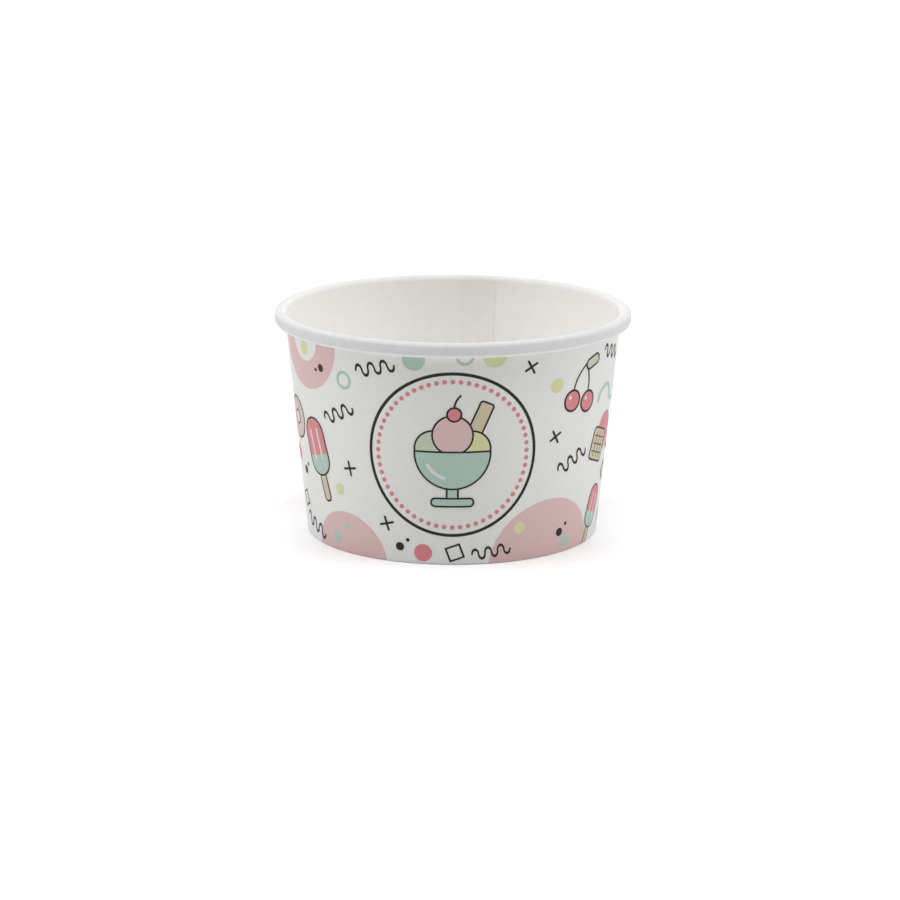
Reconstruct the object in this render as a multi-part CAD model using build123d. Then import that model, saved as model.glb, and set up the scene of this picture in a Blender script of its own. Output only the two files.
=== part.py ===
from build123d import *
from math import atan, copysign, cos, degrees, radians, sin
import os

# A two-piece paper dessert cup: a wrapped sidewall with a rolled rim and a folded hem, and a base disc.
# Millimetres, +Z up, origin at the middle of the ring that the cup stands on.
# The printed front faces -Y and the side seam is at the back.

# Overall sizes
CUP_HEIGHT = 60.3
BASE_DIAMETER = 78.0           # outside of the wall at the table
MOUTH_DIAMETER = 90.0          # outside of the wall cone, carried up to the top of the rim

# Board and seals
WALL_BOARD = 0.4
DISC_BOARD = 0.35
SEAL_FILM = 0.03               # coating left between two boards that are sealed face to face

# Rolled rim, radii to the middle of the board
RIM_OVERHANG = 2.5             # rim beyond the wall cone, at the top
LIP_RADIUS = 1.4
CROWN_FALL = 32.0              # slope of the rim's top towards its outer edge, in degrees
SHOULDER_RADIUS = 0.55
FLANK_HEIGHT = 1.5             # upright outer face of the roll
CURL_GAP = 0.1                 # between the wall and the tucked edge of the roll
CURL_END = 0.7                 # straight edge tucked up inside the roll

# Base
BASE_RECESS = 6.0              # underside of the disc above the table
DISC_BEND_INNER_RADIUS = 0.5
FOLD_INNER_RADIUS = 0.05
SKIRT_CLEARANCE = 0.3          # skirt edge above the bottom of the fold
HEM_CLEARANCE = 0.4            # hem edge below the bend of the disc

# Side seam
SEAM_ANGLE = 15.4              # edge of the inner flap, in degrees from the back towards +X
LAP_WIDTH = 9.5                # overlap of the two flaps, halfway up the wall
RAMP_WIDTH = 2.2               # where the outer flap climbs over the edge of the inner one
LAP_BOND = 0.15                # depth by which the pressed flaps sink into each other

BACK_ANGLE = 90.0              # the back of the cup, as an angle about Z from +X
FULL_TURN = 360.0
TOUCHING = 1e-6

# The wall cone, as a line in the section plane: X is the radius, Y is the height
base_radius = BASE_DIAMETER / 2
mouth_radius = MOUTH_DIAMETER / 2
taper = atan((mouth_radius - base_radius) / CUP_HEIGHT)
up_wall = Vector(sin(taper), cos(taper))
out_wall = Vector(cos(taper), -sin(taper))
wall_foot = Vector(base_radius, 0)


def on_wall(depth, height):
    """The point at this height on the line that lies this deep behind the outside of the wall."""
    start = wall_foot - out_wall * depth
    return start + up_wall * ((height - start.Y) / up_wall.Y)


def board_section(start, arcs, end, thickness):
    """Face of an evenly thick board along a middle line of tangent arcs, joined by straights."""
    middle = [CenterArc(centre, radius, angle, turn) for centre, radius, angle, turn in arcs]
    edges = []
    caps = []
    for shift in (thickness / 2, -thickness / 2):
        curves = [CenterArc(centre, radius - shift * copysign(1, turn), angle, turn)
                  for centre, radius, angle, turn in arcs]
        points = [start + (curves[0] @ 0 - middle[0] @ 0)]
        for curve in curves:
            points += [curve @ 0, curve @ 1]
        points.append(end + (curves[-1] @ 1 - middle[-1] @ 1))
        straights = [(a, b) for a, b in zip(points[::2], points[1::2]) if (b - a).length > TOUCHING]
        edges += curves + [Line(a, b) for a, b in straights]
        caps.append((points[0], points[-1]))
    edges += [Line(caps[0][0], caps[1][0]), Line(caps[0][1], caps[1][1])]
    return make_face(edges)


def at_angle(section, angle):
    """The section set up in the half-plane at this angle about Z."""
    return Rot(0, 0, angle) * (Plane.XZ * section)


def turned(section, angle, arc):
    """The section turned about Z through this arc, from the half-plane at this angle."""
    return revolve(at_angle(section, angle), Axis.Z, arc)


# Depths behind the outside of the wall, to the middle of each board at the base
wall_depth = WALL_BOARD / 2
skirt_depth = WALL_BOARD + SEAL_FILM + DISC_BOARD / 2
hem_depth = WALL_BOARD + 2 * SEAL_FILM + DISC_BOARD + WALL_BOARD / 2
taper_deg = degrees(taper)

# Base disc: flat panel, bend and skirt
disc_bend_radius = DISC_BEND_INNER_RADIUS + DISC_BOARD / 2
panel_height = BASE_RECESS + DISC_BOARD / 2
bend_height = panel_height - disc_bend_radius
bend_centre = on_wall(skirt_depth + disc_bend_radius, bend_height)
skirt_end = on_wall(skirt_depth, WALL_BOARD + SKIRT_CLEARANCE)

disc_section = board_section(
    Vector(0, panel_height),
    [(bend_centre, disc_bend_radius, 90, -90 - taper_deg)],
    skirt_end,
    DISC_BOARD,
)
base_disc = turned(disc_section, 0, FULL_TURN)

# Rolled rim: over the lip and the shoulder, down the flank, and tucked up against the wall
lip_height = CUP_HEIGHT - WALL_BOARD / 2 - LIP_RADIUS
lip_centre = on_wall(wall_depth - LIP_RADIUS, lip_height)
rim_radius = mouth_radius + RIM_OVERHANG
roll_edge = rim_radius - WALL_BOARD / 2
crown_angle = 90 - CROWN_FALL
crown_out = Vector(sin(radians(CROWN_FALL)), cos(radians(CROWN_FALL)))
shoulder_x = roll_edge - SHOULDER_RADIUS
shoulder_drop = ((shoulder_x - lip_centre.X) * crown_out.X + SHOULDER_RADIUS - LIP_RADIUS) / crown_out.Y
shoulder_centre = Vector(shoulder_x, lip_centre.Y - shoulder_drop)
flank_foot = shoulder_centre.Y - FLANK_HEIGHT

roll_room = (roll_edge - on_wall(wall_depth, flank_foot).X) * cos(taper)
tuck_radius = (roll_room - WALL_BOARD - CURL_GAP) / (1 + cos(taper))
tuck_centre = Vector(roll_edge - tuck_radius, flank_foot)
tuck_side = tuck_centre - out_wall * tuck_radius
curl_tip = tuck_side + up_wall * CURL_END

# Fold and hem: under the skirt and up its inner side
fold_radius = FOLD_INNER_RADIUS + WALL_BOARD / 2
fold_height = WALL_BOARD / 2 + fold_radius
outer_fold = on_wall(wall_depth + fold_radius, fold_height)
inner_fold = on_wall(hem_depth - fold_radius, fold_height)
hem_end = on_wall(hem_depth, bend_height - HEM_CLEARANCE)

wall_section = board_section(
    hem_end,
    [
        (inner_fold, fold_radius, 180 - taper_deg, 90 + taper_deg),
        (outer_fold, fold_radius, 270, 90 - taper_deg),
        (lip_centre, LIP_RADIUS, 180 - taper_deg, crown_angle - 180 + taper_deg),
        (shoulder_centre, SHOULDER_RADIUS, crown_angle, -crown_angle),
        (tuck_centre, tuck_radius, 0, -180 - taper_deg),
    ],
    curl_tip,
    WALL_BOARD,
)
wrapped = turned(wall_section, 0, FULL_TURN)

# Side seam: the outer flap leaves the cone, climbs over the edge of the inner flap and lies on it
lap_foot = fold_height
lap_top = lip_centre.Y
lap_radius = on_wall(wall_depth, CUP_HEIGHT / 2).X
lap_arc = degrees(LAP_WIDTH / lap_radius)
ramp_arc = degrees(RAMP_WIDTH / lap_radius)
edge_angle = BACK_ANGLE - SEAM_ANGLE
lap_growth = 1 + (WALL_BOARD - LAP_BOND) / mouth_radius


def wall_strip(growth):
    """Straight part of the wall in section, with its radii grown by a factor."""
    corners = [on_wall(0, lap_foot), on_wall(0, lap_top), on_wall(WALL_BOARD, lap_top),
               on_wall(WALL_BOARD, lap_foot)]
    return make_face(Polyline(*[(p.X * growth, p.Y) for p in corners], close=True))


ramp_ends = [at_angle(wall_strip(1), edge_angle - ramp_arc), at_angle(wall_strip(lap_growth), edge_angle)]
ramp = loft(ramp_ends, ruled=True)
flap = turned(wall_strip(lap_growth), edge_angle, lap_arc)
gap = turned(wall_strip(1), edge_angle - ramp_arc, ramp_arc)
sidewall = wrapped - gap + ramp + flap

os.makedirs("parts", exist_ok=True)
for name, piece in (("sidewall", sidewall), ("base_disc", base_disc)):
    export_step(piece, f"parts/{name}.step")
    size = piece.bounding_box().size
    print(name, "solids", len(piece.solids()), "volume", round(piece.volume, 1),
          "size", [round(v, 3) for v in size])
print("rim diameter", round(2 * rim_radius, 2), "roll from", round(tuck_centre.Y - tuck_radius - wall_depth, 2),
      "to", CUP_HEIGHT, "flat ring", round(outer_fold.X - inner_fold.X, 3))
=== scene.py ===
# %% [markdown]
# # A paper dessert cup
# This cup is two pieces of coated board. The wall is a fan-shaped blank, printed flat, wrapped to a cone and
# lapped on itself at the back, with its top edge rolled out into a rim and its lower edge folded in under the
# base. The base is a disc with its edge bent down. The lesson draws the wall's section, wraps it, adds the base,
# and then finishes and prints the board.

# %% Load the frame
import math

import bpy
from mathutils import Matrix, Vector


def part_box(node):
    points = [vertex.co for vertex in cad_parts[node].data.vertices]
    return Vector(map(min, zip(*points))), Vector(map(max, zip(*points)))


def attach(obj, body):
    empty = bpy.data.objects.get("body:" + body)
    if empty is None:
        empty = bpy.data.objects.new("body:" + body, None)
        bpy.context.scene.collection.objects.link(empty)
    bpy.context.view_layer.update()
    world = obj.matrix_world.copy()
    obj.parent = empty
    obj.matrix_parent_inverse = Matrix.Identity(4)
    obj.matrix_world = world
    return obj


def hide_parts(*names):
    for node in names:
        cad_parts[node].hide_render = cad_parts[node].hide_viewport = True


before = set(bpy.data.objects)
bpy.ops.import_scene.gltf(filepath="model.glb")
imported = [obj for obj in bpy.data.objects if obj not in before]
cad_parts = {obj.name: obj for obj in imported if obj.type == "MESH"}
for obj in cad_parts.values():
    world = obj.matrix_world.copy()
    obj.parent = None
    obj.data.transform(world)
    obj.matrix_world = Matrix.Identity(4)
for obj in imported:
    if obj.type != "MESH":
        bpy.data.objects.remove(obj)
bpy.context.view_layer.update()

# %% [markdown]
# ## Sizes
# Everything is in metres, in the frame's own axes: +Z is up, and the printed front faces -Y. The height comes
# from the frame. The rest are the few sizes that the board is cut, rolled and folded to.

# %% Driving sizes
MM = 0.001
CUP_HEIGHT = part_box("sidewall")[1].z
RIM_RADIUS = 47.5 * MM
BASE_RADIUS = 39.0 * MM
MOUTH_RADIUS = 45.0 * MM
WALL_BOARD = 0.4 * MM
DISC_BOARD = 0.35 * MM
SEAL_FILM = 0.03 * MM
TAPER = math.atan((MOUTH_RADIUS - BASE_RADIUS) / CUP_HEIGHT)
TAPER_DEG = math.degrees(TAPER)
UP_WALL = Vector((math.sin(TAPER), 0, math.cos(TAPER)))
OUT_WALL = Vector((math.cos(TAPER), 0, -math.sin(TAPER)))


def on_wall(depth, height):
    """The point at this height on the line that lies this deep behind the outside of the wall."""
    start = Vector((BASE_RADIUS, 0, 0)) - OUT_WALL * depth
    return start + UP_WALL * ((height - start.z) / UP_WALL.z)


print("wall leans out by", round(TAPER_DEG, 2), "degrees")

# %% [markdown]
# ## Drawing a section with a pen
# A folded board is easiest to draw as one line along the middle of its thickness. A plane merged to a single
# vertex makes a pen: extruding the vertex draws a straight run, and spinning it about a point draws a bend.

# %% The pen
SPIN_AXIS = (0, 1, 0)


def only(piece):
    """Makes one object the only one selected, and active."""
    bpy.ops.object.select_all(action="DESELECT")
    piece.select_set(True)
    bpy.context.view_layer.objects.active = piece


def pen_down(name, start):
    """A new mesh of one selected vertex, left in edit mode."""
    bpy.ops.object.select_all(action="DESELECT")
    bpy.ops.mesh.primitive_plane_add(size=MM)
    bpy.context.object.name = name
    bpy.ops.object.mode_set(mode="EDIT")
    bpy.ops.mesh.select_all(action="SELECT")
    bpy.ops.mesh.merge(type="CENTER")
    bpy.ops.transform.translate(value=start)
    return start.copy()


def pen_straight(pen, end, runs=1):
    """Extrudes the pen in equal runs to the end point."""
    for _ in range(runs):
        bpy.ops.mesh.extrude_vertices_move(TRANSFORM_OT_translate={"value": (end - pen) / runs})
    return end.copy()


def pen_bend(pen, centre, turn_deg, steps):
    """Spins the pen about a centre in the section plane: positive turns lead from +X towards +Z."""
    turn = math.radians(turn_deg)
    bpy.ops.mesh.spin(steps=steps, angle=turn, center=centre, axis=SPIN_AXIS, use_auto_merge=False)
    return centre + Matrix.Rotation(-turn, 3, "Y") @ (pen - centre)


# %% [markdown]
# ## The wall's section
# From the hem's edge the line goes down, under the base disc in two tight folds with a flat between them, up
# the wall, over the lip, along the sloping top of the rim, round its shoulder, down its upright flank and under
# itself. The bends' centres follow from the sizes: each bend is tangent to the runs beside it.

# %% Places of the folds and the roll
RECESS = 6.0 * MM
DISC_BEND = 0.5 * MM + DISC_BOARD / 2
HEM_CLEARANCE = 0.4 * MM
FOLD_RADIUS = 0.05 * MM + WALL_BOARD / 2
LIP_RADIUS = 1.4 * MM
CROWN_FALL = math.radians(32)
SHOULDER_RADIUS = 0.55 * MM
FLANK_HEIGHT = 1.5 * MM
CURL_GAP = 0.1 * MM
CURL_END = 0.7 * MM

wall_depth = WALL_BOARD / 2
skirt_depth = WALL_BOARD + SEAL_FILM + DISC_BOARD / 2
hem_depth = 1.5 * WALL_BOARD + 2 * SEAL_FILM + DISC_BOARD
panel_height = RECESS + DISC_BOARD / 2
bend_height = panel_height - DISC_BEND

fold_height = wall_depth + FOLD_RADIUS
inner_fold = on_wall(hem_depth - FOLD_RADIUS, fold_height)
outer_fold = on_wall(wall_depth + FOLD_RADIUS, fold_height)

lip_centre = on_wall(wall_depth - LIP_RADIUS, CUP_HEIGHT - wall_depth - LIP_RADIUS)
roll_edge = RIM_RADIUS - wall_depth
shoulder_x = roll_edge - SHOULDER_RADIUS
crown_run = (shoulder_x - lip_centre.x) * math.sin(CROWN_FALL)
shoulder_drop = (crown_run + SHOULDER_RADIUS - LIP_RADIUS) / math.cos(CROWN_FALL)
shoulder_centre = Vector((shoulder_x, 0, lip_centre.z - shoulder_drop))
flank_foot = shoulder_centre.z - FLANK_HEIGHT
crown_turn = 90 - math.degrees(CROWN_FALL)

roll_room = (roll_edge - on_wall(wall_depth, flank_foot).x) * math.cos(TAPER)
tuck_radius = (roll_room - WALL_BOARD - CURL_GAP) / (1 + math.cos(TAPER))
tuck_centre = Vector((roll_edge - tuck_radius, 0, flank_foot))
print("roll's underside at", round((tuck_centre.z - tuck_radius - wall_depth) / MM, 2), "mm")

# %% Draw the section
HEM_RUNS, WALL_RUNS, FLANK_RUNS = 3, 16, 2
FOLD_STEPS, LIP_STEPS, SHOULDER_STEPS, TUCK_STEPS = 6, 14, 10, 16
crown_out = Vector((math.sin(CROWN_FALL), 0, math.cos(CROWN_FALL)))
pen = pen_down("cup_wall", on_wall(hem_depth, bend_height - HEM_CLEARANCE))
pen = pen_straight(pen, inner_fold - OUT_WALL * FOLD_RADIUS, runs=HEM_RUNS)
pen = pen_bend(pen, inner_fold, 90 + TAPER_DEG, FOLD_STEPS)
pen = pen_straight(pen, outer_fold - Vector((0, 0, FOLD_RADIUS)))
pen = pen_bend(pen, outer_fold, 90 - TAPER_DEG, FOLD_STEPS)
pen = pen_straight(pen, lip_centre - OUT_WALL * LIP_RADIUS, runs=WALL_RUNS)
pen = pen_bend(pen, lip_centre, crown_turn - 180 + TAPER_DEG, LIP_STEPS)
pen = pen_straight(pen, shoulder_centre + crown_out * SHOULDER_RADIUS)
pen = pen_bend(pen, shoulder_centre, -crown_turn, SHOULDER_STEPS)
pen = pen_straight(pen, Vector((roll_edge, 0, flank_foot)), runs=FLANK_RUNS)
pen = pen_bend(pen, tuck_centre, -180 - TAPER_DEG, TUCK_STEPS)
pen_straight(pen, pen + UP_WALL * CURL_END)
cup_wall = bpy.context.object
bpy.ops.object.mode_set(mode="OBJECT")
section_points = len(cup_wall.data.vertices)
print("section points", section_points, "rim", max(v.co.x for v in cup_wall.data.vertices) / MM,
      "top", max(v.co.z for v in cup_wall.data.vertices) / MM)

# %% [markdown]
# ## Wrapping the wall
# The real blank is wrapped round a former until its ends overlap, so the section is spun about Z for a little
# more than a full turn. It starts at the edge of the inner flap. Near the end of the turn the outer flap
# climbs one board outwards, and then it lies over the inner flap. Only the straight part of the wall is
# doubled: in the rim and the hem the blank's corners are cut away, so there the two ends just meet, and close
# to them the flaps are pinched together.

# %% Spin the section round
SEAM_BACK = math.radians(15.4)
LAP_WIDTH = 9.5 * MM
RAMP_WIDTH = 2.2 * MM
LAP_BOND = 0.15 * MM
ROUND_STEPS = 360
RAMP_STEPS = 6
LAP_STEPS = 14
Z_SPIN = {"center": (0, 0, 0), "axis": (0, 0, -1), "use_auto_merge": False}

lap_radius = on_wall(wall_depth, CUP_HEIGHT / 2).x
lap_arc = LAP_WIDTH / lap_radius
ramp_arc = RAMP_WIDTH / lap_radius
only(cup_wall)
bpy.ops.object.mode_set(mode="EDIT")
bpy.ops.mesh.select_all(action="SELECT")
bpy.ops.mesh.spin(steps=ROUND_STEPS, angle=2 * math.pi - ramp_arc, **Z_SPIN)
bpy.ops.mesh.spin(steps=RAMP_STEPS, angle=ramp_arc, **Z_SPIN)
bpy.ops.mesh.spin(steps=LAP_STEPS, angle=lap_arc, **Z_SPIN)
bpy.ops.mesh.select_all(action="DESELECT")
bpy.ops.object.mode_set(mode="OBJECT")
print("wrapped sheet", len(cup_wall.data.polygons), "faces")

# %% Lap the ends
NEAR = 0.01 * MM
LAP_GROWTH = (WALL_BOARD - LAP_BOND) / MOUTH_RADIUS
lap_foot = (outer_fold + OUT_WALL * FOLD_RADIUS).z
lap_top = (lip_centre - OUT_WALL * LIP_RADIUS).z
lap_pinch = (lap_top - lap_foot) / WALL_RUNS


def flap_growth(turn, height):
    """How much the outer flap's radius grows at this angle past the inner flap's edge, and at this height."""
    climb = min(max(turn / ramp_arc + 1, 0), 1)
    pinch = min((height - lap_foot) / lap_pinch, (lap_top - height) / lap_pinch, 1)
    return 1 + LAP_GROWTH * climb * max(pinch, 0)


def on_straight_wall(point):
    """True for a point of the wall's straight part, between the fold and the lip."""
    middle = on_wall(wall_depth, point.z).x
    level = lap_foot - NEAR < point.z < lap_top + NEAR
    return level and abs(math.hypot(point.x, point.y) - middle) < NEAR


wrapped_points = section_points * (ROUND_STEPS + 1)
for vertex in cup_wall.data.vertices[wrapped_points:]:
    turn = math.atan2(vertex.co.y, vertex.co.x)
    if on_straight_wall(vertex.co):
        vertex.co.xy *= flap_growth(turn, vertex.co.z)
    else:
        vertex.select = math.hypot(vertex.co.x, vertex.co.y) * turn > NEAR
bpy.ops.object.mode_set(mode="EDIT")
bpy.ops.mesh.delete(type="VERT")
bpy.ops.object.mode_set(mode="OBJECT")
print("lap", round(math.degrees(lap_arc), 2), "degrees, lift", round(LAP_GROWTH * MOUTH_RADIUS / MM, 3), "mm")

# %% Give the wall its board
SHARP_EDGE = math.radians(40)


def thicken(piece, board):
    """Gives a middle surface the board's thickness, half to each side, and smooths all but its edges."""
    only(piece)
    bpy.ops.object.mode_set(mode="EDIT")
    bpy.ops.mesh.select_all(action="SELECT")
    bpy.ops.mesh.normals_make_consistent(inside=False)
    bpy.ops.object.mode_set(mode="OBJECT")
    board_maker = piece.modifiers.new("board", "SOLIDIFY")
    board_maker.thickness = board
    board_maker.offset = 0
    board_maker.use_even_offset = True
    board_maker.material_offset = 1
    board_maker.material_offset_rim = 1
    bpy.ops.object.modifier_apply(modifier="board")
    bpy.ops.object.shade_smooth_by_angle(angle=SHARP_EDGE)


cup_wall.rotation_euler.z = math.pi / 2 - SEAM_BACK
only(cup_wall)
bpy.ops.object.transform_apply(location=False, rotation=True, scale=False)
coated_board = bpy.data.materials.new("coated_board")
print_board = bpy.data.materials.new("print_board")
cup_wall.data.materials.append(coated_board)
cup_wall.data.materials.append(print_board)
thicken(cup_wall, WALL_BOARD)
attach(cup_wall, "root")
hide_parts("sidewall")
print("cup wall", len(cup_wall.data.polygons), "faces")

# %% [markdown]
# ## The base disc
# The floor of the cup is a round of board with its edge bent down into a skirt. The skirt is sealed between
# the wall and the hem. It is drawn with the same pen, from the axis out, and spun once round.

# %% Draw and spin the disc
SKIRT_CLEARANCE = 0.3 * MM
PANEL_RUNS, DISC_STEPS, SKIRT_RUNS = 6, 8, 2
SAME_POINT = NEAR / 10
disc_bend = on_wall(skirt_depth + DISC_BEND, bend_height)
pen = pen_down("cup_base", Vector((0, 0, panel_height)))
pen = pen_straight(pen, disc_bend + Vector((0, 0, DISC_BEND)), runs=PANEL_RUNS)
pen = pen_bend(pen, disc_bend, -90 - TAPER_DEG, DISC_STEPS)
pen_straight(pen, on_wall(skirt_depth, WALL_BOARD + SKIRT_CLEARANCE), runs=SKIRT_RUNS)
cup_base = bpy.context.object
bpy.ops.mesh.select_all(action="SELECT")
bpy.ops.mesh.spin(steps=ROUND_STEPS, angle=2 * math.pi, **Z_SPIN)
bpy.ops.mesh.select_all(action="SELECT")
bpy.ops.mesh.remove_doubles(threshold=SAME_POINT)
bpy.ops.object.mode_set(mode="OBJECT")
base_stock = bpy.data.materials.new("base_stock")
cup_base.data.materials.append(base_stock)
thicken(cup_base, DISC_BOARD)
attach(cup_base, "root")
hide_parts("base_disc")
print("cup base", len(cup_base.data.polygons), "faces")

# %% [markdown]
# ## Board
# Cup stock is white board with a thin film on it. Close up it isn't one flat white: fibres clump into faint
# clouds, short fibres show as specks, and the film has a soft, slightly uneven sheen. At the foot a thin line
# is darker: partly the sharp fold opening the fibres, partly painted shade where the wall meets the floor.
# All this is a node group, because the inks on the board show it too. It puts out a tone round 1, and a height.

# %% Node helpers
def add_node(tree, kind, **values):
    """A new node in a tree, with properties set by name and inputs set by socket name."""
    node = tree.nodes.new(kind)
    for name, value in values.items():
        if hasattr(node, name):
            setattr(node, name, value)
        else:
            node.inputs[name.replace("_", " ")].default_value = value
    return node


def math_node(tree, operation, *values, clamp=False):
    """The result of a new math node, fed by sockets or numbers."""
    node = add_node(tree, "ShaderNodeMath", operation=operation, use_clamp=clamp)
    for socket, value in zip(node.inputs, values):
        if isinstance(value, (int, float)):
            socket.default_value = value
        else:
            tree.links.new(value, socket)
    return node.outputs[0]


# %% The grain group
CLOUD_SIZE = 2.6 * MM
CLOUDS = {"Scale": 1 / CLOUD_SIZE, "Detail": 3.0, "Roughness": 0.55}
FIBRE_SIZE = 0.32 * MM
FIBRES = {"Scale": 1 / FIBRE_SIZE, "Detail": 2.0, "Roughness": 0.6}
# Painted shade: a thin line at the board's foot is darker, partly for the fold's open fibres, partly for shade
# where it meets the floor.
FOOT_LINE = 0.45 * MM
FOOT_FOLD_AND_SHADE = 0.72

grain_and_foot_shade_group = bpy.data.node_groups.new("board_grain_and_foot_shade", "ShaderNodeTree")
for name, way in (("Tone", "OUTPUT"), ("Height", "OUTPUT"), ("Depth", "INPUT")):
    grain_and_foot_shade_group.interface.new_socket(name, in_out=way, socket_type="NodeSocketFloat")
group_in = add_node(grain_and_foot_shade_group, "NodeGroupInput")
group_out = add_node(grain_and_foot_shade_group, "NodeGroupOutput")
place = add_node(grain_and_foot_shade_group, "ShaderNodeTexCoord")
clouds = add_node(grain_and_foot_shade_group, "ShaderNodeTexNoise", **CLOUDS)
fibres = add_node(grain_and_foot_shade_group, "ShaderNodeTexNoise", **FIBRES)
axes = add_node(grain_and_foot_shade_group, "ShaderNodeSeparateXYZ")
for node in (clouds, fibres, axes):
    grain_and_foot_shade_group.links.new(place.outputs["Object"], node.inputs["Vector"])
foot = add_node(grain_and_foot_shade_group, "ShaderNodeMapRange", From_Min=0.0, From_Max=FOOT_LINE,
                To_Min=FOOT_FOLD_AND_SHADE, To_Max=1.0)
grain_and_foot_shade_group.links.new(axes.outputs["Z"], foot.inputs["Value"])

both = math_node(grain_and_foot_shade_group, "ADD", clouds.outputs["Fac"], fibres.outputs["Fac"])
centred = math_node(grain_and_foot_shade_group, "SUBTRACT", both, 1.0)
tone = math_node(grain_and_foot_shade_group, "MULTIPLY_ADD", centred, group_in.outputs["Depth"], 1.0)
tone_with_foot_shade = math_node(grain_and_foot_shade_group, "MULTIPLY", tone, foot.outputs["Result"])
grain_and_foot_shade_group.links.new(tone_with_foot_shade, group_out.inputs["Tone"])
grain_and_foot_shade_group.links.new(both, group_out.inputs["Height"])
print("grain nodes", len(grain_and_foot_shade_group.nodes))

# %% [markdown]
# ## Colours
# A colour is written as on a colour card, in sRGB from 0 to 255, and turned into the linear light that the
# shader works in. The outside of the wall is bleached for printing. The disc is coated on both sides, and its
# colour is painted shade: a darker copy of the wall's inside film, so that the cup's floor, lit from above,
# stays below pure white. It is a little creamier than the print.

# %% Board materials
SHEEN = 0.35
BUMP_STRENGTH = 0.25
BUMP_DEPTH = 0.012 * MM


def card(red, green, blue):
    """Linear colour of an sRGB colour card."""
    def linear(value):
        share = value / 255
        return share / 12.92 if share <= 0.04045 else ((share + 0.055) / 1.055) ** 2.4
    return (linear(red), linear(green), linear(blue), 1.0)


def board_finish(material, colour, roughness, grain_depth):
    """Board or ink on board: a colour toned by the grain and by the painted shade at the foot, with the grain's
    bump and a soft sheen.
    """
    material.use_nodes = True
    tree = material.node_tree
    shader = tree.nodes["Principled BSDF"]
    shader.inputs["Roughness"].default_value = roughness
    shader.inputs["Specular IOR Level"].default_value = SHEEN
    grain = add_node(tree, "ShaderNodeGroup", node_tree=grain_and_foot_shade_group, Depth=grain_depth)
    toned = add_node(tree, "ShaderNodeVectorMath", operation="SCALE")
    toned.inputs[0].default_value = colour[:3]
    bump = add_node(tree, "ShaderNodeBump", Strength=BUMP_STRENGTH, Distance=BUMP_DEPTH)
    tree.links.new(grain.outputs["Tone"], toned.inputs["Scale"])
    tree.links.new(toned.outputs["Vector"], shader.inputs["Base Color"])
    tree.links.new(grain.outputs["Height"], bump.inputs["Height"])
    tree.links.new(bump.outputs["Normal"], shader.inputs["Normal"])
    return tree, toned


PRINT_WHITE = card(247, 247, 245)
# Painted shade: the disc's white is a darker copy of the inside film, for the cup's floor that is lit from
# above.
STOCK_WHITE_SHADED = card(247, 246, 243)
board_finish(print_board, PRINT_WHITE, roughness=0.5, grain_depth=0.06)
board_finish(base_stock, STOCK_WHITE_SHADED, roughness=0.45, grain_depth=0.08)
print("boards", [tuple(round(c, 3) for c in colour[:3]) for colour in (PRINT_WHITE, STOCK_WHITE_SHADED)])

# %% [markdown]
# ## The coated side
# The film side is the inside of the cup and, rolled outwards, the top of the rim. Its colour is painted as lit
# and shaded copies of one film: inside it is a light cream, painted light for light that comes through the
# thin wall and goes from wall to wall, and on the rim it is a darker cool white, painted shade. Along the
# rim's lower edge, under the roll, a lighter white is a painted highlight for light from the floor. Where the
# flaps lie double at the seam less light comes through, so a band there is a little darker: it fades in at
# one end and stops crisply at the edge of the inner flap, whose line also runs up over the rim. Each of these
# is a mask made from the place on the cup, by its distance from the axis, its height or its angle.

# %% Film helpers
# Painted light: the film inside the cup is a lighter copy of the board, for light that comes through the thin
# wall.
FILM_CREAM_LIT = card(252, 251, 248)
film_tree, film_toned = board_finish(coated_board, FILM_CREAM_LIT, roughness=0.42, grain_depth=0.1)
film_place = add_node(film_tree, "ShaderNodeTexCoord")
film_axes = add_node(film_tree, "ShaderNodeSeparateXYZ")
film_tree.links.new(film_place.outputs["Object"], film_axes.inputs["Vector"])


def film_math(operation, *values):
    """The result of a math node in the film."""
    return math_node(film_tree, operation, *values)


def film_step(value, low, high):
    """0 at the low value, 1 at the high one, and smooth between them."""
    node = add_node(film_tree, "ShaderNodeMapRange", interpolation_type="SMOOTHSTEP",
                    From_Min=low, From_Max=high)
    film_tree.links.new(value, node.inputs["Value"])
    return node.outputs["Result"]


def film_mix(mask, under, over):
    """One colour laid over another by a mask."""
    node = add_node(film_tree, "ShaderNodeMix", data_type="RGBA")
    film_tree.links.new(mask, node.inputs["Factor"])
    for socket, colour in zip((node.inputs[6], node.inputs[7]), (under, over)):
        if isinstance(colour, tuple):
            socket.default_value = colour
        else:
            film_tree.links.new(colour, socket)
    return node.outputs[2]


def shaded(colour, shade):
    """A colour darkened by a share for each of red, green and blue."""
    return (*(c * k for c, k in zip(colour, shade)), 1.0)


# %% The coated side
# Painted shade on the rim: its film is a darker copy of the inside's. Painted highlight under the roll: a
# lighter copy.
FILM_COOL_SHADED = card(234, 234, 235)
FILM_UNDERSIDE_LIGHT = card(251, 251, 250)
COOL_FROM = 1.2 * MM
COOL_FULL = 0.2 * MM
UNDERSIDE_LIGHT_FROM = 0.2 * MM
UNDERSIDE_LIGHT_FULL = 0.6 * MM
BAND_SHADE = (0.968, 0.962, 0.952)
RIM_SHADE = (0.93, 0.93, 0.93)
FADE = math.radians(2.0)
SEAM_LINE = math.radians(0.14)

squares = [film_math("POWER", film_axes.outputs[axis], 2.0) for axis in "XY"]
from_axis = film_math("SQRT", film_math("ADD", *squares))
on_rim = film_step(from_axis, lip_centre.x - COOL_FROM, lip_centre.x - COOL_FULL)
# Painted highlight: the film under the roll is lighter, for light from the floor falling on it.
underside_light_mask = film_step(film_axes.outputs["Z"], flank_foot - UNDERSIDE_LIGHT_FROM, flank_foot - UNDERSIDE_LIGHT_FULL)

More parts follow.
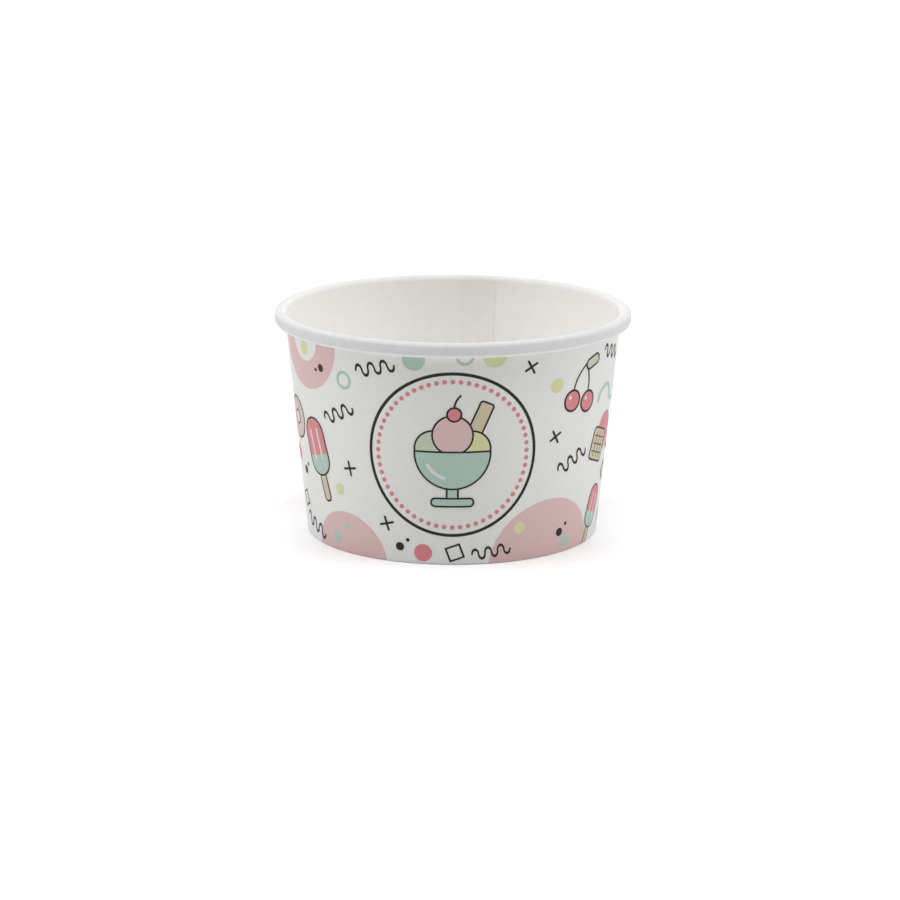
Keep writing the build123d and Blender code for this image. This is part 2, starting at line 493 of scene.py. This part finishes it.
round_back = film_math("ARCTAN2", film_axes.outputs["X"], film_axes.outputs["Y"])
band = film_step(round_back, SEAM_BACK - lap_arc - FADE, SEAM_BACK - lap_arc + FADE)
band = film_math("MULTIPLY", band, film_math("LESS_THAN", round_back, SEAM_BACK))
from_seam = film_math("ABSOLUTE", film_math("SUBTRACT", round_back, SEAM_BACK))
seam_line = film_math("MULTIPLY", film_math("LESS_THAN", from_seam, SEAM_LINE), on_rim)

inside_film = film_mix(band, FILM_CREAM_LIT, shaded(FILM_CREAM_LIT, BAND_SHADE))
rim_film = film_mix(seam_line, FILM_COOL_SHADED, shaded(FILM_COOL_SHADED, RIM_SHADE))
rim_film = film_mix(underside_light_mask, rim_film, FILM_UNDERSIDE_LIGHT)
film_tree.links.new(film_mix(on_rim, inside_film, rim_film), film_toned.inputs[0])
print("film nodes", len(film_tree.nodes))

# %% [markdown]
# ## Drawing the print
# A cup's blank is printed flat and then wrapped, so the print is drawn flat here too. A painted texture could
# carry it, but it blurs close up. Here each motif is a few thin faces, one ink each, so its edges stay crisp.
# The shapes come from circles, planes and spun edges, in millimetres round the origin. The closed ones have a
# grow value, because an outlined motif is a charcoal shape, grown a little, with the plain shape laid on it.

# %% Cutting a flat shape
def trim(piece, level, keep_above):
    """Cuts a flat shape along a level line and keeps one side of it."""
    only(piece)
    bpy.ops.object.mode_set(mode="EDIT")
    bpy.ops.mesh.select_all(action="SELECT")
    bpy.ops.mesh.bisect(plane_co=(0, level * MM, 0), plane_no=(0, 1, 0),
                        clear_inner=keep_above, clear_outer=not keep_above)
    bpy.ops.object.mode_set(mode="OBJECT")
    return piece


def hollow(piece, width):
    """Leaves only a band of this width inside a flat shape's edge."""
    only(piece)
    bpy.ops.object.mode_set(mode="EDIT")
    bpy.ops.mesh.select_all(action="SELECT")
    bpy.ops.mesh.inset(thickness=width * MM)
    bpy.ops.mesh.delete(type="FACE")
    bpy.ops.object.mode_set(mode="OBJECT")
    return piece


# %% Flat shapes
FEWEST_SIDES = 16
SIDES_PER_MM = 4
LARGEST_COUNTED = 16
CORNER_STEPS = 8


def disc(radius, grow=0):
    """A round, with more sides the larger it is."""
    bpy.ops.object.select_all(action="DESELECT")
    sides = FEWEST_SIDES + SIDES_PER_MM * min(int(radius), LARGEST_COUNTED)
    bpy.ops.mesh.primitive_circle_add(vertices=sides, radius=(radius + grow) * MM, fill_type="NGON")
    return bpy.context.object


def half_disc(radius, grow=0):
    """The upper half of a round."""
    return trim(disc(radius, grow), -grow, keep_above=True)


def card_shape(width, height, corner, grow=0):
    """A rectangle with rounded corners."""
    bpy.ops.object.select_all(action="DESELECT")
    bpy.ops.mesh.primitive_plane_add(size=MM)
    piece = bpy.context.object
    piece.scale = (width + 2 * grow, height + 2 * grow, 1)
    bpy.ops.object.transform_apply(location=False, rotation=False, scale=True)
    if corner:
        bpy.ops.object.mode_set(mode="EDIT")
        bpy.ops.mesh.select_all(action="SELECT")
        bpy.ops.mesh.bevel(offset=(corner + grow) * MM, segments=CORNER_STEPS, affect="VERTICES")
        bpy.ops.object.mode_set(mode="OBJECT")
    return piece


# %% Strokes
ARC_STEPS = 14
WAVE_STEPS = 12
STROKE_SPIN = (0, 0, -1)


def arc(radius, start_deg, turn_deg, width):
    """A curved stroke round the origin: a short edge, spun."""
    start = math.radians(start_deg)
    ray = Vector((math.cos(start), math.sin(start), 0)) * MM
    pen_down("stroke", ray * (radius - width / 2))
    pen_straight(ray * (radius - width / 2), ray * (radius + width / 2))
    bpy.ops.mesh.select_all(action="SELECT")
    bpy.ops.mesh.spin(steps=ARC_STEPS, angle=math.radians(turn_deg), center=(0, 0, 0), axis=STROKE_SPIN)
    bpy.ops.object.mode_set(mode="OBJECT")
    return bpy.context.object


def wave(bends, radius, width, flatten=1.0):
    """A wavy stroke: an edge spun half a turn one way, then half a turn the other way, and so on."""
    left = -bends * radius * MM
    pen_down("stroke", Vector((left - width / 2 * MM, 0, 0)))
    pen_straight(Vector((0, 0, 0)), Vector((width * MM, 0, 0)))
    bpy.ops.mesh.select_all(action="SELECT")
    for bend in range(bends):
        centre = (left + (2 * bend + 1) * radius * MM, 0, 0)
        turn = -math.pi if bend % 2 == 0 else math.pi
        bpy.ops.mesh.spin(steps=WAVE_STEPS, angle=turn, center=centre, axis=STROKE_SPIN)
    bpy.ops.mesh.select_all(action="SELECT")
    bpy.ops.transform.resize(value=(1, flatten, 1))
    bpy.ops.object.mode_set(mode="OBJECT")
    return bpy.context.object


# %% [markdown]
# ## Motifs
# The motifs are ones that any dessert print could have: lollies, cherries, doughnuts, wafers, dots, waves and
# plain shapes. A motif is a list of parts, each with its ink and its layer, and higher layers lie on lower
# ones. The round badge for the front has a ring of beads and a bowl with three scoops.

# %% Parts of a motif
LINE = 0.5


def part(ink, layer, piece, x=0.0, y=0.0, turn=0.0):
    """A shape moved to its place in a motif, with its ink and layer."""
    piece.location = (x * MM, y * MM, 0)
    piece.rotation_euler.z = math.radians(turn)
    only(piece)
    bpy.ops.object.transform_apply()
    return (ink, layer, piece)


def outlined(ink, layer, shape, *sizes, **place):
    """A shape with a charcoal line round it, as two parts."""
    back = part("charcoal", layer, shape(*sizes, grow=LINE), **place)
    return [back, part(ink, layer + 1, shape(*sizes), **place)]


def dot(ink, radius):
    """A plain round motif."""
    return [part(ink, 0, disc(radius))]


# %% Draw the motifs
lolly = outlined("biscuit", 0, card_shape, 2.2, 8, 1.0, y=-9.5)
lolly += outlined("coral", 2, card_shape, 8.6, 15, 4.1, y=1)
lolly.append(part("mint", 4, trim(card_shape(8.6, 15, 4.1), -2.2, keep_above=False), y=1))
lolly += [part("white", 5, card_shape(0.7, 8.5, 0.34), x=x, y=1.6) for x in (-1.7, 1.7)]

cherries = [part("charcoal", 0, arc(8.2, 120.8, 51, LINE), x=5.6, y=-1.2)]
cherries.append(part("charcoal", 0, arc(9.4, 32.6, -43, LINE), x=-6.5, y=0.8))
cherries += outlined("coral", 1, disc, 2.2, x=-2.7, y=-2.2) + outlined("coral", 1, disc, 2.2, x=2.9, y=-3.2)
cherries += [part("white", 3, disc(0.45), x=x, y=y) for x, y in ((-3.5, -1.4), (2.1, -2.4))]
cherries += outlined("pistachio", 1, card_shape, 4.6, 1.9, 0.93, x=3.9, y=6.0, turn=16)

doughnut = outlined("biscuit", 0, disc, 5.4) + [part("blush", 2, disc(4.5))]
doughnut += [part("charcoal", 3, disc(1.6 + LINE)), part("white", 4, disc(1.6))]
for spot, ink in enumerate(("mint", "coral", "lemon", "white") * 2):
    angle = math.radians(45 * spot + 10)
    sprinkle = card_shape(1.5, 0.5, 0.22)
    doughnut.append(part(ink, 3, sprinkle, 3.3 * math.cos(angle), 3.3 * math.sin(angle), 100 * spot))

wafer = outlined("biscuit", 1, card_shape, 8.2, 8.2, 1.0)
wafer += [part("charcoal", 3, card_shape(0.28, 7.0, 0), x=x) for x in (-2.1, 0, 2.1)]
wafer += [part("charcoal", 3, card_shape(7.0, 0.28, 0), y=y) for y in (-2.1, 0, 2.1)]

squiggle = [part("charcoal", 2, wave(6, 0.95, LINE, 1.6))]
plus = [part("charcoal", 2, card_shape(4.2, 0.6, 0.25)), part("charcoal", 3, card_shape(0.6, 4.2, 0.25))]
box = [part("charcoal", 2, hollow(card_shape(4.2, 4.2, 0), LINE))]
drops = [part("charcoal", 3, disc(1.15)), part("charcoal", 3, disc(0.5), x=2.2, y=2.0)]
hill = [part("blush", 0, half_disc(12.5))]
hill += [part("mint", 1, disc(1.7), x=-4, y=5), part("mint", 1, disc(0.9), y=8.4)]
festoon = [part("blush", 0, trim(hollow(disc(14), 7.5), 0, keep_above=False))]
festoon += [part("charcoal", 1, disc(1.1), x=7.5, y=-7.2), part("charcoal", 1, disc(0.5), x=5.2, y=-8.0)]
mound = [part("blush", 0, half_disc(17))]
streamer = [part("mint", 0, wave(2, 4.2, 1.4, 0.8))]
hoop = [part("mint", 0, hollow(disc(2.5), 0.8))]
coral_dot, coral_round = dot("coral", 2.4), dot("coral", 5.4)
lemon_dot, mint_dot = dot("lemon", 2.0), dot("mint", 1.8)
print("lolly parts", len(lolly), "doughnut parts", len(doughnut))

# %% Draw the badge
BADGE_RADIUS = 22.4
BADGE_LINE = 0.85
BEADS = 60
BEAD_RADIUS = 0.62
BEAD_RING = BADGE_RADIUS - 2.6
badge = [part("charcoal", 0, hollow(disc(BADGE_RADIUS), BADGE_LINE))]
for bead in range(BEADS):
    angle = 2 * math.pi * bead / BEADS
    badge.append(part("coral", 0, disc(BEAD_RADIUS), BEAD_RING * math.sin(angle), BEAD_RING * math.cos(angle)))
badge += outlined("biscuit", 0, card_shape, 3.2, 12, 0.5, x=6.6, y=8.2, turn=-24)
badge += outlined("pistachio", 2, disc, 4.7, x=-4.9, y=1.6) + outlined("lemon", 2, disc, 4.7, x=4.9, y=1.6)
badge += outlined("blush", 4, disc, 5.0, y=5.4)
badge += outlined("coral", 6, disc, 1.6, x=0.4, y=11.0)
badge.append(part("charcoal", 6, arc(5.0, 180, -50, LINE), x=5.4, y=12.4))
badge += outlined("mint", 6, half_disc, 9.6, y=0.6, turn=180)
badge += outlined("mint", 4, card_shape, 2.4, 4.0, 0, y=-10.4)
badge += outlined("mint", 6, card_shape, 10.4, 1.7, 0.8, y=-12.9)
badge.append(part("white", 8, arc(7.2, 205, 50, 0.9), y=0.6))
print("badge parts", len(badge))

# %% [markdown]
# ## Laying out the blank
# Flat, the wall is part of a ring: a cone unrolls about its tip. A place on the print is an angle round the
# cup, counted from the front, and a height up the wall. On the flat ring the angle shrinks by the sine of the
# taper. Two groups of motifs fill the sides, and come again further round. At the back the blank's own edges
# cut off the print, as they do on a real cup.

# %% Stamp a motif
APEX = BASE_RADIUS / math.sin(TAPER)
FIRST_LAYER = 0.02 * MM
LAYER_STEP = 0.014 * MM
sheets = {}


def stamp(motif, around, height, turn=0, size=1.0):
    """Copies a motif to a place on the flat blank: degrees round from the front, and millimetres up."""
    lean = math.radians(around) * math.sin(TAPER)
    reach = APEX + height * MM
    for ink, layer, piece in motif:
        copy = piece.copy()
        copy.data = piece.data.copy()
        bpy.context.scene.collection.objects.link(copy)
        copy.location = (reach * math.sin(lean), reach * math.cos(lean), FIRST_LAYER + layer * LAYER_STEP)
        copy.rotation_euler.z = math.radians(turn) - lean
        copy.scale = (size, size, 1)
        sheets.setdefault(ink, []).append(copy)


# %% Lay out the blank
front = [
    (badge, 0, 30.2), (coral_dot, -11, 3.2), (box, 1, 3.4, 20), (squiggle, 15, 3.4, 8, 0.9),
    (plus, -25, 10.5, 15), (lemon_dot, 26, 9.2, 0, 0.8), (mint_dot, -13, 55.8, 0, 1.7),
    (lemon_dot, 14, 57, 0, 1.7), (squiggle, -27, 52.5, 14), (plus, 27, 53, 30), (drops, -20, 4.5),
    (hoop, 4, 56.8),
]
left_side = [
    (festoon, -3, 57), (lemon_dot, -3, 54), (lolly, 0, 26.5, 14), (doughnut, -17, 33), (hill, 14, -1),
    (squiggle, 14, 38.5, 24), (plus, 18, 24, 10), (box, -17, 10.5, 25), (squiggle, -8, 4.5, -14),
    (drops, -13, 19), (coral_dot, -22, 22.5), (hoop, 18, 48), (lemon_dot, 12, 17.5, 0, 0.8),
]
right_side = [
    (mound, -19, -1), (drops, -13, 6), (mint_dot, -9, 3.2), (cherries, -8, 44.5, 0, 1.15),
    (coral_round, 15, 30), (wafer, 9, 27, -18), (lemon_dot, -20, 47), (squiggle, 13, 52, -12),
    (streamer, 16, 40.5, 10), (plus, -19, 33, 30), (squiggle, -9, 25.5, 22), (box, 21, 18, 35),
    (lolly, 10, 9, -20, 0.75), (mint_dot, 22, 5), (drops, 23, 24.5),
]
back = [
    (hill, 175, -1), (doughnut, 161, 44), (lemon_dot, 155, 20), (hoop, 152, 54), (box, 152, 33, 15),
    (coral_round, 177, 47), (cherries, 167, 26, 10), (festoon, -177, 57), (lolly, -167, 26, -14),
    (coral_dot, -176, 8), (box, -154, 34, 30), (squiggle, -157, 44, -15), (plus, -178, 20, 20),
    (mint_dot, -156, 24),
]
for entry in front + back:
    stamp(*entry)
for side, group in ((-58, left_side), (58, right_side), (-124, right_side), (124, left_side)):
    for motif, around, *rest in group:
        stamp(motif, side + around, *rest)
print("stamped", {ink: len(copies) for ink, copies in sheets.items()})

# %% [markdown]
# ## Wrapping the print
# All the copies of one ink are joined to one sheet. A flat face can't follow a curve, so the sheet is cut into
# strips about two degrees wide along lines through the cone's tip, which stay straight when it is rolled up.
# Then each point goes from the flat ring to the cone, and settles on the real wall: round the fold at its foot
# and over the outer flap at the seam. The print runs on under the rim, and a thin Solidify makes a closed film
# of it.

# %% Cut a sheet
STRIP = 2.0
SEAM_EDGE = math.pi - SEAM_BACK
SEAM_END = math.degrees(SEAM_EDGE + lap_arc)
EDGE_MARGIN = 0.1


def bisect_all(place, normal, **clear):
    """Cuts the whole mesh that is being edited along a plane."""
    bpy.ops.mesh.select_all(action="SELECT")
    bpy.ops.mesh.bisect(plane_co=place, plane_no=normal, **clear)


def cut_strips():
    """Cuts the flat sheet that is being edited along lines through the cone's tip, and trims its two ends."""
    first, last = SEAM_END - 360 + EDGE_MARGIN, SEAM_END - EDGE_MARGIN
    lines = [first + step * STRIP for step in range(int(360 / STRIP))]
    lines += [math.degrees(SEAM_EDGE - ramp_arc * step / RAMP_STEPS) for step in range(RAMP_STEPS + 1)]
    lines.append(last)
    for line in lines:
        lean = math.radians(line) * math.sin(TAPER)
        across = (math.cos(lean), -math.sin(lean), 0)
        bisect_all((0, 0, 0), across, clear_inner=line == first, clear_outer=line == last)
    bpy.ops.mesh.select_all(action="SELECT")
    bpy.ops.mesh.quads_convert_to_tris()


# %% From flat to round
FOLD_OUTSIDE = FOLD_RADIUS + wall_depth
FOLD_SLANT = (fold_height - FOLD_OUTSIDE * math.sin(TAPER)) / math.cos(TAPER)


def on_cup(around, radius, height):
    """The point at an angle from the front, a distance from the axis and a height."""
    return Vector((radius * math.sin(around), -radius * math.cos(around), height))


def wrapped(point):
    """Where a point of the flat blank goes on a plain cone, as high off the cone as it was off the blank."""
    around = math.atan2(point.x, point.y) / math.sin(TAPER)
    slant = math.hypot(point.x, point.y) - APEX
    radius = BASE_RADIUS + slant * math.sin(TAPER) + point.z * math.cos(TAPER)
    return on_cup(around, radius, slant * math.cos(TAPER) - point.z * math.sin(TAPER))


def settled(point):
    """Where a point near the cone goes on the real wall: round the fold at its foot, or over the outer flap."""
    around = math.atan2(point.x, -point.y)
    radius = math.hypot(point.x, point.y)
    past_foot = radius - BASE_RADIUS
    lift = past_foot * math.cos(TAPER) - point.z * math.sin(TAPER)
    slant = past_foot * math.sin(TAPER) + point.z * math.cos(TAPER)
    if slant < FOLD_SLANT:
        turn = TAPER + (FOLD_SLANT - slant) / FOLD_OUTSIDE
        reach = FOLD_OUTSIDE + lift
        return on_cup(around, outer_fold.x + reach * math.cos(turn), fold_height - reach * math.sin(turn))
    if around < SEAM_EDGE + lap_arc:
        radius *= flap_growth(around - SEAM_EDGE, point.z)
    return on_cup(around, radius, point.z)


# %% Wrap the sheets
FOLD_CUTS = 3
PRINT_TOP = 57.0 * MM
INK_FILM = 0.01 * MM


def joined_sheet(ink):
    """Joins one ink's copies to a flat sheet that faces up."""
    bpy.ops.object.select_all(action="DESELECT")
    for copy in sheets[ink]:
        copy.select_set(True)
    sheet = sheets[ink][0]
    bpy.context.view_layer.objects.active = sheet
    bpy.ops.object.join()
    bpy.ops.object.transform_apply()
    sheet.name = ink + "_print"
    for face in sheet.data.polygons:
        face.select = face.normal.z < 0
    bpy.ops.object.mode_set(mode="EDIT")
    bpy.ops.mesh.flip_normals()
    bpy.ops.object.mode_set(mode="OBJECT")
    return sheet


def wrap_sheet(ink):
    """Wraps one ink's sheet on the cup and gives it the ink's thickness."""
    sheet = joined_sheet(ink)
    bpy.ops.object.mode_set(mode="EDIT")
    cut_strips()
    bpy.ops.object.mode_set(mode="OBJECT")
    for vertex in sheet.data.vertices:
        vertex.co = wrapped(vertex.co)
    bpy.ops.object.mode_set(mode="EDIT")
    for cut in range(FOLD_CUTS + 1):
        bisect_all((0, 0, FOLD_SLANT * cut / FOLD_CUTS), (0, 0, 1), clear_inner=cut == 0)
    for level in (lap_foot + lap_pinch, lap_top - lap_pinch):
        bisect_all((0, 0, level), (0, 0, 1))
    bisect_all((0, 0, PRINT_TOP), (0, 0, 1), clear_outer=True)
    bpy.ops.object.mode_set(mode="OBJECT")
    for vertex in sheet.data.vertices:
        vertex.co = settled(vertex.co)
    film = sheet.modifiers.new("film", "SOLIDIFY")
    film.thickness = INK_FILM
    film.offset = -1
    bpy.ops.object.modifier_apply(modifier="film")
    bpy.ops.object.shade_smooth_by_angle(angle=SHARP_EDGE)
    return sheet


ink_prints = {ink: wrap_sheet(ink) for ink in sorted(sheets)}
for motif in (lolly, cherries, doughnut, wafer, squiggle, plus, box, drops, hill, festoon, mound, streamer,
              hoop, coral_dot, coral_round, lemon_dot, mint_dot, badge):
    for _, _, piece in motif:
        bpy.data.objects.remove(piece)
print("ink faces", {ink: len(sheet.data.polygons) for ink, sheet in ink_prints.items()})

# %% [markdown]
# ## Inks
# Each ink is a thin, slightly glossier film over the same board, so the board's grain shows in its tone and its
# bump. The colours are pastels on white with a soft black for the lines.

# %% Ink materials
INK_CARDS = {
    "blush": card(234, 201, 200),
    "coral": card(230, 143, 146),
    "mint": card(188, 214, 203),
    "lemon": card(230, 231, 178),
    "pistachio": card(212, 222, 195),
    "biscuit": card(221, 208, 176),
    "charcoal": card(34, 28, 21),
    "white": card(238, 238, 237),
}
for ink, sheet in ink_prints.items():
    finish = bpy.data.materials.new(ink + "_ink")
    board_finish(finish, INK_CARDS[ink], roughness=0.46, grain_depth=0.05)
    sheet.data.materials.append(finish)
    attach(sheet, "root")
print("inks", len(ink_prints))

# %% [markdown]
# ## The studio
# The cup stands on a white floor inside a dome of soft light. The dome has four soft lamps in it: one high
# towards the front, a larger and lower one at the back, and one at each side. Low in the front it stays dark,
# so the rim and the inside are lighter than the front of the cup, and the inside's film is painted lighter
# still. The camera and the reflections see the dome as plain white. The camera also sees the floor a little
# lighter than it is, so that it turns almost white and the shadow stays faint.

# %% Floor
FLOOR_SIZE = 8.0
FLOOR_WHITE = card(232, 232, 232)
FLOOR_ROUGHNESS = 0.9
FLOOR_LIFT = 0.25
bpy.ops.object.select_all(action="DESELECT")
bpy.ops.mesh.primitive_plane_add(size=FLOOR_SIZE, location=(0, 0, 0))
floor = bpy.context.object
floor.name = "floor"
floor_white = bpy.data.materials.new("floor_white")
floor_white.use_nodes = True
floor_tree = floor_white.node_tree
floor_shader = floor_tree.nodes["Principled BSDF"]
floor_shader.inputs["Base Color"].default_value = FLOOR_WHITE
floor_shader.inputs["Roughness"].default_value = FLOOR_ROUGHNESS
floor_shader.inputs["Specular IOR Level"].default_value = 0.0
floor_shader.inputs["Emission Color"].default_value = (1, 1, 1, 1)
floor_rays = add_node(floor_tree, "ShaderNodeLightPath")
floor_lift = math_node(floor_tree, "MULTIPLY", floor_rays.outputs["Is Camera Ray"], FLOOR_LIFT)
floor_tree.links.new(floor_lift, floor_shader.inputs["Emission Strength"])
floor.data.materials.append(floor_white)
print("floor", FLOOR_SIZE, "m square")

# %% Dome
FRONT_LAMP = {"around": 0, "up": 75, "focus": 24.0, "level": 6.2}
BACK_LAMP = {"around": 180, "up": 30, "focus": 8.0, "level": 2.4}
LEFT_LAMP = {"around": -90, "up": 30, "focus": 16.0, "level": 3.45}
RIGHT_LAMP = {"around": 90, "up": 30, "focus": 16.0, "level": 3.45}
LAMPS = (FRONT_LAMP, BACK_LAMP, LEFT_LAMP, RIGHT_LAMP)
WHITE_SKY = 1.0

world = bpy.data.worlds.new("dome")
bpy.context.scene.world = world
world.use_nodes = True
dome = world.node_tree
background = dome.nodes["Background"]
direction = add_node(dome, "ShaderNodeTexCoord")


def dome_lamp(glow, around, up, focus, level):
    """Adds a soft lamp to the dome's glow, brightest in one direction."""
    around, up = math.radians(around), math.radians(up)
    towards = (math.cos(up) * math.sin(around), -math.cos(up) * math.cos(around), math.sin(up))
    facing = add_node(dome, "ShaderNodeVectorMath", operation="DOT_PRODUCT")
    facing.inputs[1].default_value = towards
    dome.links.new(direction.outputs["Generated"], facing.inputs[0])
    near = math_node(dome, "MAXIMUM", facing.outputs["Value"], 0.0)
    return math_node(dome, "MULTIPLY_ADD", math_node(dome, "POWER", near, focus), level, glow)


glow = 0.0
for lamp in LAMPS:
    glow = dome_lamp(glow, **lamp)
rays = add_node(dome, "ShaderNodeLightPath")
seen = rays.outputs["Is Camera Ray"]
for kind in ("Is Glossy Ray", "Is Transmission Ray"):
    seen = math_node(dome, "ADD", seen, rays.outputs[kind], clamp=True)
strength = add_node(dome, "ShaderNodeMix", data_type="FLOAT")
strength.inputs["B"].default_value = WHITE_SKY
dome.links.new(seen, strength.inputs["Factor"])
dome.links.new(glow, strength.inputs["A"])
dome.links.new(strength.outputs["Result"], background.inputs["Strength"])
background.inputs["Color"].default_value = (1, 1, 1, 1)
print("dome lamps", len(LAMPS))

# %% [markdown]
# ## The camera
# A long lens from a little above, as for a shop picture. The camera's aim, height and lens were found by
# laying the cup's outline over the picture.

# %% Camera
CAMERA_DISTANCE = 827.3 * MM
CAMERA_ELEVATION = 0.2464
CAMERA_ROLL = 0.0042
CAMERA_AIM = Vector((-0.637, 0, 20.94)) * MM
FOCAL_PIXELS = 3065.3
IMAGE_PIXELS = 900
SENSOR_WIDTH = 36.0

camera_data = bpy.data.cameras.new("camera")
camera = bpy.data.objects.new("camera", camera_data)
bpy.context.scene.collection.objects.link(camera)
camera_data.sensor_width = SENSOR_WIDTH
camera_data.lens = SENSOR_WIDTH * FOCAL_PIXELS / IMAGE_PIXELS
camera_data.clip_start = CAMERA_DISTANCE / 100
camera_data.clip_end = FLOOR_SIZE * 2
forward = Vector((0, math.cos(CAMERA_ELEVATION), -math.sin(CAMERA_ELEVATION)))
camera.location = CAMERA_AIM - forward * CAMERA_DISTANCE
level_view = forward.to_track_quat("-Z", "Y")
camera.rotation_euler = (level_view.to_matrix() @ Matrix.Rotation(CAMERA_ROLL, 3, "Z")).to_euler()
bpy.context.scene.camera = camera
bpy.context.scene.view_settings.view_transform = "Standard"
print("lens", round(camera_data.lens, 1), "mm")
